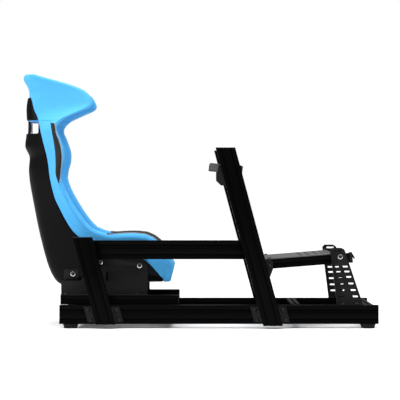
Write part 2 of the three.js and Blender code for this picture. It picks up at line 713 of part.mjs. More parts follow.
function pedalGusset(side) {
  const face = towerFace;
  const shape = outline([[852, 226], [872, 214], [893, 214], [906, 249], [906, 280], [896, 290], [852, 290]]);
  shape.holes.push(roundHole(pedalPivot.x, pedalPivot.z, boltRadius));
  const web = sidePlate(shape, side, face, face + gussetThickness);
  return join(web, sideBox(side, [852, face + 1, 226], [858, railOuter, 290]));
}

// The latch that closes a deck rail's front end: a block with a slanted thumb lever
function pedalLatch(side) {
  const near = pedalDeckHalfWidth - module40 + latch.inset;
  const far = pedalDeckHalfWidth - latch.inset;
  const start = pedalRailLength + gap;
  const face = start + latch.thickness;
  const low = latch.above - latch.height;
  const block = outline([[start, low], [face, low], [face, latch.above], [start, latch.above]]);
  const lever = outline([[face - 1, -16], [face + latch.lever - 4, -27], [face + latch.lever, -23],
    [face + 3, -6], [face - 1, -6]]);
  return join(sidePlate(block, side, near, far), sidePlate(lever, side, near + 8, far - 8));
}

for (const [label, side] of sides) {
  add(`pedal_latch_${label}`, onPedalDeck(pedalLatch(side)), 'plastic');
  add(`pedal_rail_${label}`, onPedalDeck(profileAlongX(module40, module40, 0, pedalRailLength,
    side * pedalRailMiddle, -module40 / 2)), 'anodised');
  add(`pedal_tower_${label}`, pedalTowerPlate(side), 'steel');
  add(`pedal_gusset_${label}`, pedalGusset(side), 'steel');
  add(`pedal_pivot_bolt_${label}`, bolt(pedalPivot.x, pedalPivot.z, side * (pedalDeckHalfWidth + gap),
    side * (towerFace + gussetThickness + gap)), 'zinc');
}

const modelBox = new THREE.Box3().setFromObject(group);
const middle = modelBox.getCenter(new THREE.Vector3());
group.position.set(-middle.x, -middle.y, -modelBox.min.z);

export default group;
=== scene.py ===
# %% [markdown]
# # A racing seat on a profile frame
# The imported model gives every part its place. This lesson builds the finished look around it:
# fine edges on the metal, a sewn cover on the bucket, and a finish for each material.

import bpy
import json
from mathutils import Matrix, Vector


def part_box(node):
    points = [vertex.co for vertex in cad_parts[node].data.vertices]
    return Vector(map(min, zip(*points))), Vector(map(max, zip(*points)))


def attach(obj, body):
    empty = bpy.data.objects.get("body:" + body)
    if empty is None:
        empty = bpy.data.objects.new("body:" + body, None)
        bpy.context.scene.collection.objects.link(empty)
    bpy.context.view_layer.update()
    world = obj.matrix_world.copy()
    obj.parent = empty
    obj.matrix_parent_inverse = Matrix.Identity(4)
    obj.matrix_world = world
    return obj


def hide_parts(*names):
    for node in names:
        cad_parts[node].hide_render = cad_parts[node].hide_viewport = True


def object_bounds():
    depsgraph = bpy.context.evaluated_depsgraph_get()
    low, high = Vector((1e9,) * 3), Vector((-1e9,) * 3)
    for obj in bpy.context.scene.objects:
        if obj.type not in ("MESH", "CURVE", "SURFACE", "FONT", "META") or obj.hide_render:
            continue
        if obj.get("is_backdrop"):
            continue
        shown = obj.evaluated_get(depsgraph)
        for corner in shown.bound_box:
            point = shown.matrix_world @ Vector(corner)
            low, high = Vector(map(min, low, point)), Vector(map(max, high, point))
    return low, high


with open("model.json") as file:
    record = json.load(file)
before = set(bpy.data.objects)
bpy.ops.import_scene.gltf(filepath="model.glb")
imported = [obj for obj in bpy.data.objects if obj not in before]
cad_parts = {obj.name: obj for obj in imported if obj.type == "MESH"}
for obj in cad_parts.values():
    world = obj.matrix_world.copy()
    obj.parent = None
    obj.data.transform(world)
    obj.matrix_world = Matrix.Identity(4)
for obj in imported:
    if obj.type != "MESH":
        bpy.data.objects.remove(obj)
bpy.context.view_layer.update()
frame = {"nodes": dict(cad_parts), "record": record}

import json
import math
import bpy
import bmesh
from mathutils import Matrix, Vector

scene = bpy.context.scene
nodes = frame["nodes"]
mm = 0.001
GAP = 0.0003             # between pieces that touch
SIDES = (("left", 1), ("right", -1))

# %% [markdown]
# ## Camera, light and floor
# The product is shown straight from its right side with a long lens, on a white floor. A long
# lens far away keeps the near and the far rail almost the same length. The surroundings are bright
# above and dim at the side, so that upward faces are light and the black bars stay black.

# %% Camera
def look_from_side(distance, height, sideways, lens, shift):
    bpy.ops.object.camera_add(location=(sideways, -distance, height), rotation=(math.radians(90), 0, 0))
    camera = bpy.context.object
    camera.name = "view_camera"
    camera.data.lens = lens
    camera.data.shift_x, camera.data.shift_y = shift
    camera.data.clip_end = 60
    scene.camera = camera


look_from_side(distance=8.459, height=0.5865, sideways=-0.0198, lens=173.34, shift=(0.015, -0.025))

# %% Light
SIDE_LIGHT = 0.10       # level with the object
TOP_LIGHT = 1.7         # straight above it
world = bpy.data.worlds.new("studio")
scene.world = world
world.use_nodes = True
studio = world.node_tree
studio.nodes["Background"].inputs["Strength"].default_value = 1.0
position = studio.nodes.new("ShaderNodeTexCoord")
height = studio.nodes.new("ShaderNodeSeparateXYZ")
grade = studio.nodes.new("ShaderNodeValToRGB")
for place, level in zip((0.0, 1.0), (SIDE_LIGHT, TOP_LIGHT)):
    stop = grade.color_ramp.elements[int(place)]
    stop.position, stop.color = 0.1 + 0.8 * place, (level, level, level, 1)
seen = studio.nodes.new("ShaderNodeLightPath")
choose = studio.nodes.new("ShaderNodeMix")
choose.data_type = "RGBA"
choose.inputs["B"].default_value = (1, 1, 1, 1)
studio.links.new(position.outputs["Generated"], height.inputs[0])
studio.links.new(height.outputs["Z"], grade.inputs[0])
studio.links.new(grade.outputs[0], choose.inputs["A"])
studio.links.new(seen.outputs["Is Camera Ray"], choose.inputs["Factor"])
studio.links.new(choose.outputs["Result"], studio.nodes["Background"].inputs["Color"])
scene.view_settings.view_transform = "Standard"


def soft_box(name, place, target, size, power):
    bpy.ops.object.light_add(type="AREA", location=place)
    lamp = bpy.context.object
    lamp.name = name
    lamp.data.shape = "RECTANGLE"
    lamp.data.size, lamp.data.size_y = size
    lamp.data.energy = power
    aim = Vector(target) - Vector(place)
    lamp.rotation_euler = aim.to_track_quat("-Z", "Y").to_euler()


soft_box("top_box", (0.2, -0.6, 3.4), (0, 0, 0.5), (3.0, 2.4), 80)
soft_box("rear_box", (-3.4, -2.6, 2.9), (-0.4, 0, 0.7), (1.8, 2.2), 100)

# %% Floor
bpy.ops.mesh.primitive_plane_add(size=30, location=(0, 0, -0.0005))
floor = bpy.context.object
floor.name = "floor"
floor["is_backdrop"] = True

# %% [markdown]
# ## Small helpers
# An operator acts on everything that is selected, so each step starts by selecting only its own
# object. Every finished piece sits at the origin with its place in its mesh.

# %% Selecting and finishing
def only(piece):
    if bpy.context.object and bpy.context.object.mode != "OBJECT":
        bpy.ops.object.mode_set(mode="OBJECT")
    bpy.ops.object.select_all(action="DESELECT")
    piece.select_set(True)
    bpy.context.view_layer.objects.active = piece
    return piece


def settle(piece):
    """Puts the piece's place into its mesh and leaves the object at the origin."""
    only(piece)
    bpy.ops.object.transform_apply(location=True, rotation=True, scale=True)
    return piece


def smooth_by_angle(piece, degrees=35):
    only(piece)
    bpy.ops.object.shade_smooth_by_angle(angle=math.radians(degrees))


def apply_modifier(piece, kind, **settings):
    only(piece)
    modifier = piece.modifiers.new(kind.title(), kind)
    for key, value in settings.items():
        setattr(modifier, key, value)
    bpy.ops.object.modifier_apply(modifier=modifier.name)


def bevel_edges(piece, width, segments=2, degrees=35, **settings):
    """Rounds only the edges that turn by more than an angle."""
    apply_modifier(piece, "BEVEL", width=width, segments=segments, limit_method="ANGLE",
                   angle_limit=math.radians(degrees), **settings)


def shown_copy(node, name, flat=True):
    """A copy of a CAD node with its triangles merged, ready to be refined."""
    copy = nodes[node].copy()
    copy.data = nodes[node].data.copy()
    copy.name = name
    copy.parent = None
    copy.matrix_world = Matrix.Identity(4)
    scene.collection.objects.link(copy)
    only(copy)
    bpy.ops.object.mode_set(mode="EDIT")
    bpy.ops.mesh.select_all(action="SELECT")
    bpy.ops.mesh.remove_doubles(threshold=2e-5)
    if flat:
        bpy.ops.mesh.dissolve_limited(angle_limit=math.radians(0.5))
    bpy.ops.object.mode_set(mode="OBJECT")
    copy.data.materials.clear()
    return copy


def finish_piece(piece, body, material, slot, *replaced):
    piece.data.materials.clear()
    piece.data.materials.append(material)
    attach(piece, body)
    if replaced:
        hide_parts(*replaced)


BODY_OF = {node: body for body, members in frame["record"]["behaviour"]["bodies"].items() for node in members}

# %% [markdown]
# ## Effects that several finishes share
# Grain, streaks, weave and worn edges are built once as node groups. Each gives out a value that
# varies over the surface, and every material mixes it in with its own strength.

# %% Building a node group
def new_group(name, inputs, outputs):
    tree = bpy.data.node_groups.new(name, "ShaderNodeTree")
    for label, kind, value in inputs:
        socket = tree.interface.new_socket(name=label, in_out="INPUT", socket_type=kind)
        if value is not None:
            socket.default_value = value
    for label, kind in outputs:
        tree.interface.new_socket(name=label, in_out="OUTPUT", socket_type=kind)
    return tree, tree.nodes.new("NodeGroupInput"), tree.nodes.new("NodeGroupOutput")


def link(tree, start, end):
    tree.links.new(start, end)


def math_node(tree, operation, first, second=None, clamp=False):
    node = tree.nodes.new("ShaderNodeMath")
    node.operation = operation
    node.use_clamp = clamp
    for socket, value in zip(node.inputs, (first, second)):
        if value is None:
            continue
        if isinstance(value, (int, float)):
            socket.default_value = value
        else:
            link(tree, value, socket)
    return node.outputs[0]


# %% Grain: fine noise, for coated and moulded surfaces
grain_group, given, result = new_group(
    "grain", [("Scale", "NodeSocketFloat", 900.0), ("Detail", "NodeSocketFloat", 3.0)],
    [("Value", "NodeSocketFloat")])
coordinates = grain_group.nodes.new("ShaderNodeTexCoord")
noise = grain_group.nodes.new("ShaderNodeTexNoise")
link(grain_group, coordinates.outputs["Object"], noise.inputs["Vector"])
link(grain_group, given.outputs["Scale"], noise.inputs["Scale"])
link(grain_group, given.outputs["Detail"], noise.inputs["Detail"])
link(grain_group, noise.outputs[0], result.inputs["Value"])

# %% Streaks: noise drawn out along X or along the leaning posts, as an extrusion has
streak_group, given, result = new_group(
    "streaks", [("Turn", "NodeSocketFloat", 0.0), ("Scale", "NodeSocketFloat", 420.0)],
    [("Value", "NodeSocketFloat")])
coordinates = streak_group.nodes.new("ShaderNodeTexCoord")
turn = streak_group.nodes.new("ShaderNodeCombineXYZ")
link(streak_group, given.outputs["Turn"], turn.inputs["Y"])
mapping = streak_group.nodes.new("ShaderNodeMapping")
mapping.inputs["Scale"].default_value = (0.012, 1, 1)
link(streak_group, coordinates.outputs["Object"], mapping.inputs["Vector"])
link(streak_group, turn.outputs["Vector"], mapping.inputs["Rotation"])
noise = streak_group.nodes.new("ShaderNodeTexNoise")
noise.inputs["Detail"].default_value = 4
link(streak_group, mapping.outputs["Vector"], noise.inputs["Vector"])
link(streak_group, given.outputs["Scale"], noise.inputs["Scale"])
link(streak_group, noise.outputs[0], result.inputs["Value"])

# %% Wear: a mask along the edges, broken up by noise
# A rounded normal differs from the true one only close to an edge, however large the faces are.
wear_group, given, result = new_group(
    "edge_wear", [("Gain", "NodeSocketFloat", 6.0), ("Patches", "NodeSocketFloat", 60.0)],
    [("Mask", "NodeSocketFloat")])
rounded = wear_group.nodes.new("ShaderNodeBevel")
rounded.samples = 4
rounded.inputs["Radius"].default_value = 0.0012
geometry = wear_group.nodes.new("ShaderNodeNewGeometry")
likeness = wear_group.nodes.new("ShaderNodeVectorMath")
likeness.operation = "DOT_PRODUCT"
link(wear_group, rounded.outputs[0], likeness.inputs[0])
link(wear_group, geometry.outputs["Normal"], likeness.inputs[1])
coordinates = wear_group.nodes.new("ShaderNodeTexCoord")
noise = wear_group.nodes.new("ShaderNodeTexNoise")
link(wear_group, coordinates.outputs["Object"], noise.inputs["Vector"])
link(wear_group, given.outputs["Patches"], noise.inputs["Scale"])
difference = math_node(wear_group, "SUBTRACT", 1.0, likeness.outputs["Value"])
edge = math_node(wear_group, "MULTIPLY", difference, given.outputs["Gain"], clamp=True)
patchy = math_node(wear_group, "MULTIPLY", edge, noise.outputs[0])
link(wear_group, patchy, result.inputs["Mask"])

# %% Weave: crossing threads on whichever plane the surface faces most
weave_group, given, result = new_group(
    "weave", [("Thread", "NodeSocketFloat", 0.0016)],
    [("Height", "NodeSocketFloat"), ("Shade", "NodeSocketFloat")])
coordinates = weave_group.nodes.new("ShaderNodeTexCoord")
split = weave_group.nodes.new("ShaderNodeSeparateXYZ")
link(weave_group, coordinates.outputs["Object"], split.inputs[0])
facing = weave_group.nodes.new("ShaderNodeSeparateXYZ")
link(weave_group, coordinates.outputs["Normal"], facing.inputs[0])
turns = math_node(weave_group, "DIVIDE", 2 * math.pi, given.outputs["Thread"])
waves = {}
for axis in "XYZ":
    angle = math_node(weave_group, "MULTIPLY", split.outputs[axis], turns)
    waves[axis] = math_node(weave_group, "SINE", angle)
height = None
for axis, first, second in (("X", "Y", "Z"), ("Y", "X", "Z"), ("Z", "X", "Y")):
    share = math_node(weave_group, "POWER", math_node(weave_group, "ABSOLUTE", facing.outputs[axis]), 4.0)
    crossing = math_node(weave_group, "MULTIPLY", waves[first], waves[second])
    part = math_node(weave_group, "MULTIPLY", share, crossing)
    height = part if height is None else math_node(weave_group, "ADD", height, part)
link(weave_group, height, result.inputs["Height"])
shade = math_node(weave_group, "ADD", math_node(weave_group, "MULTIPLY", height, 0.5), 0.5, clamp=True)
link(weave_group, shade, result.inputs["Shade"])


# %% Placing a group in a material
def start_material(name, colour, roughness, metallic=0.0):
    material = bpy.data.materials.new(name)
    material.use_nodes = True
    shader = material.node_tree.nodes["Principled BSDF"]
    shader.inputs["Base Color"].default_value = (*colour, 1)
    shader.inputs["Roughness"].default_value = roughness
    shader.inputs["Metallic"].default_value = metallic
    return material, material.node_tree, shader


def place_group(tree, group, **values):
    node = tree.nodes.new("ShaderNodeGroup")
    node.node_tree = group
    for key, value in values.items():
        node.inputs[key].default_value = value
    return node


def vary_colour(tree, shader, mask, low, high):
    """Base Color runs from low to high as the mask runs from 0 to 1."""
    mix = tree.nodes.new("ShaderNodeMix")
    mix.data_type = "RGBA"
    mix.inputs["A"].default_value = (*low, 1)
    mix.inputs["B"].default_value = (*high, 1)
    link(tree, mask, mix.inputs["Factor"])
    link(tree, mix.outputs["Result"], shader.inputs["Base Color"])
    return mix


def vary_roughness(tree, shader, mask, low, high):
    spread = tree.nodes.new("ShaderNodeMapRange")
    spread.inputs["From Min"].default_value = 0.3
    spread.inputs["From Max"].default_value = 0.7
    spread.inputs["To Min"].default_value = low
    spread.inputs["To Max"].default_value = high
    link(tree, mask, spread.inputs["Value"])
    link(tree, spread.outputs[0], shader.inputs["Roughness"])


def add_bump(tree, shader, height, distance, strength=1.0):
    bump = tree.nodes.new("ShaderNodeBump")
    bump.inputs["Strength"].default_value = strength
    bump.inputs["Distance"].default_value = distance
    link(tree, height, bump.inputs["Height"])
    if shader.inputs["Normal"].is_linked:
        link(tree, shader.inputs["Normal"].links[0].from_socket, bump.inputs["Normal"])
    link(tree, bump.outputs["Normal"], shader.inputs["Normal"])

# %% [markdown]
# ## Finishes
# Black anodised aluminium is satin, with faint lines along the bar. Powder coat is duller, with a
# fine orange-peel bump. The bare bucket is satin gelcoat. The seat's cloth is a bright tight
# weave, a little mottled, with a soft sheen from its fibres.

# %% Metal finishes
BLACK = (0.0008, 0.0008, 0.0009)


def anodised(name, turn=0.0):
    material, tree, shader = start_material(name, BLACK, 0.36)
    shader.inputs["Specular IOR Level"].default_value = 0.03
    streaks = place_group(tree, streak_group, Turn=turn)
    wear = place_group(tree, wear_group, Gain=5.0, Patches=45.0)
    vary_colour(tree, shader, wear.outputs["Mask"], BLACK, (0.02, 0.02, 0.021))
    vary_roughness(tree, shader, streaks.outputs["Value"], 0.28, 0.42)
    add_bump(tree, shader, streaks.outputs["Value"], 0.00004)
    return material


LEAN = math.radians(15)
PEDAL_SLOPE = math.radians(4.6)
black_bar = anodised("black_anodised_bar")
black_post = anodised("black_anodised_post", math.pi / 2 - LEAN)
black_deck_bar = anodised("black_anodised_deck_bar", -PEDAL_SLOPE)


def coated(name, colour, worn, roughness=(0.42, 0.6)):
    material, tree, shader = start_material(name, colour, sum(roughness) / 2)
    shader.inputs["Specular IOR Level"].default_value = 0.16
    grain = place_group(tree, grain_group, Scale=1100.0, Detail=2.0)
    wear = place_group(tree, wear_group, Gain=6.0, Patches=90.0)
    vary_colour(tree, shader, wear.outputs["Mask"], colour, worn)
    vary_roughness(tree, shader, grain.outputs["Value"], *roughness)
    add_bump(tree, shader, grain.outputs["Value"], 0.00012)
    return material


black_coat = coated("black_powder_coat", (0.0035, 0.0035, 0.0038), (0.04, 0.04, 0.042))
grey_coat = coated("grey_powder_coat", (0.07, 0.071, 0.073), (0.16, 0.16, 0.165), (0.34, 0.5))
black_plastic = coated("black_moulded_plastic", (0.004, 0.004, 0.0042), (0.012, 0.012, 0.013), (0.5, 0.65))
rubber = coated("foot_rubber", (0.006, 0.006, 0.0063), (0.012, 0.012, 0.0125), (0.75, 0.9))

zinc, tree, shader = start_material("bright_zinc", (0.56, 0.57, 0.6), 0.24, 1.0)
grain = place_group(tree, grain_group, Scale=1600.0)
vary_roughness(tree, shader, grain.outputs["Value"], 0.16, 0.32)
add_bump(tree, shader, grain.outputs["Value"], 0.00002)

black_bolt, tree, shader = start_material("black_oxide_bolt", (0.022, 0.022, 0.024), 0.32, 0.7)
grain = place_group(tree, grain_group, Scale=1500.0)
vary_roughness(tree, shader, grain.outputs["Value"], 0.24, 0.4)

# %% Bare bucket: satin gelcoat with a faint ripple of the glass cloth under it
gelcoat, tree, shader = start_material("black_gelcoat", (0.0022, 0.0022, 0.0024), 0.42)
shader.inputs["Specular IOR Level"].default_value = 0.06
ripple = place_group(tree, grain_group, Scale=55.0, Detail=1.0)
grain = place_group(tree, grain_group, Scale=700.0)
vary_colour(tree, shader, grain.outputs["Value"], (0.0017, 0.0017, 0.0018), (0.003, 0.003, 0.0033))
vary_roughness(tree, shader, ripple.outputs["Value"], 0.38, 0.46)
add_bump(tree, shader, ripple.outputs["Value"], 0.0003, 0.4)
add_bump(tree, shader, grain.outputs["Value"], 0.00002)


# %% Cloth finishes
def cloth(name, low, high, thread, bump, sheen):
    material, tree, shader = start_material(name, high, 0.72)
    shader.inputs["Sheen Weight"].default_value = sheen
    shader.inputs["Sheen Roughness"].default_value = 0.45
    shader.inputs["Specular IOR Level"].default_value = 0.3
    weave = place_group(tree, weave_group, Thread=thread)
    mottle = place_group(tree, grain_group, Scale=26.0)
    threads = math_node(tree, "MULTIPLY", weave.outputs["Shade"], 0.6)
    patches = math_node(tree, "MULTIPLY", mottle.outputs["Value"], 0.4)
    mask = math_node(tree, "ADD", threads, patches)
    vary_colour(tree, shader, mask, low, high)
    vary_roughness(tree, shader, mottle.outputs["Value"], 0.62, 0.8)
    add_bump(tree, shader, weave.outputs["Height"], bump)
    return material


blue_cloth = cloth("blue_seat_cloth", (0.036, 0.28, 0.60), (0.076, 0.44, 0.84), 0.0018, 0.00025, 0.12)
black_cloth = cloth("black_panel_cloth", (0.003, 0.003, 0.0033), (0.010, 0.010, 0.0105), 0.0024, 0.0004, 0.04)
piping_cloth = cloth("grey_piping", (0.20, 0.19, 0.18), (0.34, 0.32, 0.30), 0.0009, 0.0001, 0.1)
pale_thread = cloth("pale_blue_thread", (0.14, 0.45, 0.85), (0.25, 0.6, 0.95), 0.0006, 0.00005, 0.1)
thread_cloth = cloth("blue_thread", (0.02, 0.18, 0.45), (0.045, 0.28, 0.62), 0.0006, 0.00005, 0.1)

floor_white, tree, shader = start_material("studio_floor", (0.94, 0.94, 0.94), 0.55)
grain = place_group(tree, grain_group, Scale=40.0)
vary_colour(tree, shader, grain.outputs["Value"], (0.93, 0.93, 0.935), (0.95, 0.95, 0.95))
shader.inputs["Emission Color"].default_value = (1, 1, 1, 1)
shader.inputs["Emission Strength"].default_value = 0.08
floor.data.materials.append(floor_white)
print("finishes:", len(bpy.data.materials))

# %% [markdown]
# ## The frame's bars
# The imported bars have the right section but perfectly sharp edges. A fine bevel catches a thin
# line of light on every slot, which is how black bars read as bars. Each is a refined copy that
# stands for its CAD node.

# %% Bars and posts
BAR_EDGE = 0.0005        # bevel on the sawn and drawn edges of a bar
PLATE_EDGE = 0.0006      # on cut and bent plate


def refine(node, material, slot, bevel=0.0004, segments=2, angle=35):
    piece = shown_copy(node, f"{node}_shown")
    bevel_edges(piece, bevel, segments, 30, use_clamp_overlap=True)
    smooth_by_angle(piece, angle)
    finish_piece(piece, BODY_OF[node], material, slot, node)
    return piece


for side, _ in SIDES:
    for bar in ("base_rail", "seat_rail"):
        refine(f"{bar}_{side}", black_bar, "anodised_profile", BAR_EDGE)
    refine(f"front_upright_{side}", black_post, "anodised_profile", BAR_EDGE)
    refine(f"pedal_rail_{side}", black_deck_bar, "anodised_profile", BAR_EDGE)
refine("rear_upright_right", black_post, "anodised_profile", BAR_EDGE)
refine("upper_rail_right", black_bar, "anodised_profile", BAR_EDGE)
for bar in ("rear", "seat", "middle", "front"):
    refine(f"{bar}_cross_member", black_bar, "anodised_profile", BAR_EDGE)
refine("pedal_cross_rail", black_deck_bar, "anodised_profile", BAR_EDGE)

# %% Brackets, towers and plates
for side, _ in SIDES:
    for node in ("seat_bracket", "front_angle_behind", "front_angle_ahead", "wheel_side_plate",
                 "pedal_tower", "pedal_gusset"):
        refine(f"{node}_{side}", black_coat, "coated_steel", PLATE_EDGE)
    for node in ("front_upright_cap", "pedal_latch"):
        refine(f"{node}_{side}", black_plastic, "end_caps", 0.0012, 3)
for node in ("rear_angle_behind", "rear_angle_ahead"):
    refine(f"{node}_right", black_coat, "coated_steel", PLATE_EDGE)
refine("rear_upright_cap_right", black_plastic, "end_caps", 0.0012, 3)
refine("wheel_plate", grey_coat, "deck_plates", 0.0008)
refine("pedal_plate", grey_coat, "deck_plates", PLATE_EDGE)

# %% [markdown]
# ## Rubber feet
# A foot is a turned disc. It is drawn fresh as a cylinder whose rim is inset for the seat of the
# rail and whose sole is narrower, with grip ribs round the side.

# %% Feet
def rubber_foot(node, name):
    low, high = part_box(node)
    middle = [(a + b) / 2 for a, b in zip(low, high)]
    radius = (high[0] - low[0]) / 2
    height = high[2] - low[2]
    bpy.ops.mesh.primitive_cylinder_add(vertices=48, radius=radius, depth=height, location=middle)
    foot = settle(bpy.context.object)
    foot.name = name
    bpy.ops.object.mode_set(mode="EDIT")
    mesh = bmesh.from_edit_mesh(foot.data)
    for face in mesh.faces:
        face.select = face.normal.z < -0.5
    mesh.select_flush_mode()
    bmesh.update_edit_mesh(foot.data)
    bpy.ops.transform.resize(value=(0.84, 0.84, 1), center_override=(middle[0], middle[1], low[2]))
    bpy.ops.mesh.inset(thickness=0.004, depth=0)
    bpy.ops.mesh.inset(thickness=0.003, depth=-0.0015)
    for face in mesh.faces:
        face.select = abs(face.normal.z) < 0.5 and face.index % 2 == 0 and face.calc_area() > 4e-5
    bmesh.update_edit_mesh(foot.data)
    bpy.ops.mesh.inset(thickness=0.0008, depth=-0.0008, use_individual=True)
    bpy.ops.object.mode_set(mode="OBJECT")
    bevel_edges(foot, 0.0012, degrees=50)
    smooth_by_angle(foot, 40)
    finish_piece(foot, BODY_OF[node], rubber, "rubber_feet", node)


for side, _ in SIDES:
    for place in ("rear", "front"):
        rubber_foot(f"{place}_foot_{side}", f"{place}_foot_{side}_shown")

# %% [markdown]
# ## Fasteners
# Every M8 button head is the same turned and pressed shape: a domed disc with a hexagon socket.
# It is modelled once, lying along Z, then copied and turned to each of its places.

# %% One button-head bolt, head at the origin
def turned_bolt(name, head=0.008, rise=0.0045, socket=0.0026):
    bpy.ops.mesh.primitive_cylinder_add(vertices=30, radius=head, depth=rise, location=(0, 0, rise / 2))
    piece = settle(bpy.context.object)
    piece.name = name
    bpy.ops.object.mode_set(mode="EDIT")
    mesh = bmesh.from_edit_mesh(piece.data)
    bpy.ops.mesh.select_all(action="DESELECT")
    for face in mesh.faces:
        face.select = face.normal.z > 0.5
    bmesh.update_edit_mesh(piece.data)
    centre = (0, 0, rise)
    bpy.ops.transform.resize(value=(0.62, 0.62, 1), center_override=centre)
    bpy.ops.mesh.inset(thickness=head * 0.62 - socket * 1.15, depth=0.0004)
    bpy.ops.mesh.inset(thickness=0.0002, depth=0)
    bpy.ops.mesh.extrude_region_move(TRANSFORM_OT_translate={"value": (0, 0, -0.0024)})
    bpy.ops.object.mode_set(mode="OBJECT")
    bevel_edges(piece, 0.0005)
    smooth_by_angle(piece, 40)
    return piece


bolt_pattern = turned_bolt("bolt_pattern")


def place_bolt(name, seat, direction, body, material, slot="zinc_bolts", scale=1.0, replaced=()):
    """Copies the pattern bolt so that its head stands on the point, pointing along the direction."""
    piece = bolt_pattern.copy()
    piece.data = bolt_pattern.data.copy()
    piece.name = name
    scene.collection.objects.link(piece)
    turn = Vector(direction).to_track_quat("Z", "Y").to_matrix().to_4x4()
    piece.data.transform(Matrix.Translation(Vector(seat)) @ turn @ Matrix.Scale(scale, 4))
    finish_piece(piece, body, material, slot, *replaced)
    return piece


WASHER_RADIUS = 0.0105
WASHER_THICK = 0.0016
SLEEVE_RADIUS = 0.009


def washer(name, seat, direction, radius, body, material, thick=WASHER_THICK):
    bpy.ops.mesh.primitive_cylinder_add(vertices=40, radius=radius, depth=thick, location=(0, 0, thick / 2))
    piece = settle(bpy.context.object)
    piece.name = name
    bevel_edges(piece, 0.0004)
    smooth_by_angle(piece, 40)
    turn = Vector(direction).to_track_quat("Z", "Y").to_matrix().to_4x4()
    piece.data.transform(Matrix.Translation(Vector(seat)) @ turn)
    finish_piece(piece, body, material, "zinc_bolts")
    return piece


def middle_of(node):
    low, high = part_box(node)
    return Vector([(a + b) / 2 for a, b in zip(low, high)])

# %% Where things are: lengths along the rails, from their rear end
RAIL_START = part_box("base_rail_left")[0][0]
RAIL_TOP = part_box("base_rail_left")[1][2]


def along(millimetres):
    return RAIL_START + millimetres * mm


# %% Bolts of the seat, the decks and the brackets
for side, way in SIDES:
    out, inward = (0, way, 0), (0, -way, 0)
    for node in ("seat_pivot_bolt", "seat_tilt_bolt"):
        centre = middle_of(f"{node}_{side}")
        inner = min(abs(corner[1]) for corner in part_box(f"{node}_{side}"))
        bracket = min(abs(corner[1]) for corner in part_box(f"seat_bracket_{side}"))
        washer(f"{node}_sleeve_{side}", (centre.x, way * inner, centre.z), out, SLEEVE_RADIUS,
               "seat", zinc, thick=bracket - GAP - inner)
        face = bracket + 0.0033
        washer(f"{node}_washer_{side}", (centre.x, way * face, centre.z), out, WASHER_RADIUS, "seat", zinc)
        place_bolt(f"{node}_{side}_shown", (centre.x, way * (face + WASHER_THICK), centre.z), out, "seat",
                   black_bolt, replaced=(f"{node}_{side}",))
    for place in (22, 324):
        low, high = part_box(f"seat_bracket_{side}")
        place_bolt(f"seat_bracket_flange_bolt_{place}_{side}",
                   (along(place), way * 0.2297, low[2] + 0.003), (0, 0, 1), "seat_carriage", black_bolt)
    centre = middle_of(f"wheel_pivot_bolt_{side}")
    place_bolt(f"wheel_pivot_bolt_{side}_shown", (centre.x, way * 0.2781, centre.z), inward,
               "wheel_carriage", black_bolt, replaced=(f"wheel_pivot_bolt_{side}",))
    for x, z in ((705, 627), (748, 637)):
        place_bolt(f"wheel_clamp_bolt_{x}_{side}", (along(x), way * 0.2839, z * mm), inward,
                   "wheel_carriage", black_bolt)
    centre = middle_of(f"pedal_pivot_bolt_{side}")
    place_bolt(f"pedal_pivot_bolt_{side}_shown", (centre.x, way * 0.2513, centre.z), out,
               "pedal_deck", black_bolt, replaced=(f"pedal_pivot_bolt_{side}",))
    for z in (243, 277):
        place_bolt(f"pedal_gusset_bolt_{z}_{side}", (along(868), way * 0.251, z * mm), out,
                   "chassis", black_bolt)
    washer(f"tower_clamp_washer_{side}", (along(1193), way * 0.25, 0.302), out, WASHER_RADIUS,
           "chassis", zinc)
    place_bolt(f"tower_clamp_bolt_{side}", (along(1193), way * 0.2516, 0.302), out, "chassis", black_bolt)
    for x in (1205, 1262):
        place_bolt(f"tower_foot_bolt_{x}_{side}", (along(x), way * 0.2695, RAIL_TOP + 0.0033), (0, 0, 1),
                   "chassis", black_bolt)

# %% Bolts of the angle brackets, on the rail's outer face beside each leaning post
post_slope = math.tan(LEAN)
post_width = 0.08 / math.cos(LEAN)
for place, side, way in (("rear", *SIDES[1]), ("front", *SIDES[0]), ("front", *SIDES[1])):
    low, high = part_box(f"{place}_upright_{side}")
    for name, offset in (("behind", -0.018), ("ahead", post_width + 0.018)):
        for z in (0.034, 0.077):
            rear_edge = high[0] - post_width - post_slope * (z - low[2])
            place_bolt(f"{place}_angle_{name}_bolt_{round(z * 1000)}_{side}",
                       (rear_edge + offset, way * 0.2943, z), (0, way, 0), "chassis", black_bolt, scale=0.9)

# %% Bolts through the pedal plate into the deck's bars
deck_along = Vector((math.cos(PEDAL_SLOPE), 0, math.sin(PEDAL_SLOPE)))
deck_up = Vector((-math.sin(PEDAL_SLOPE), 0, math.cos(PEDAL_SLOPE)))
deck_start = Vector((along(880), 0, 0.289))
for side, way in SIDES:
    for run in (0.012, 0.276):
        spot = deck_start + deck_along * run + deck_up * 0.0044 + Vector((0, way * 0.225, 0))
        place_bolt(f"pedal_plate_bolt_{round(run * 1000)}_{side}", spot, deck_up, "pedal_deck", black_bolt)

# %% [markdown]
# ## Caps on the bars' ends
# A sawn bar is closed by a thin moulded cap. Each is a cube pressed flat, its rim bevelled and its
# face inset a little, so that it reads as a separate plastic part.

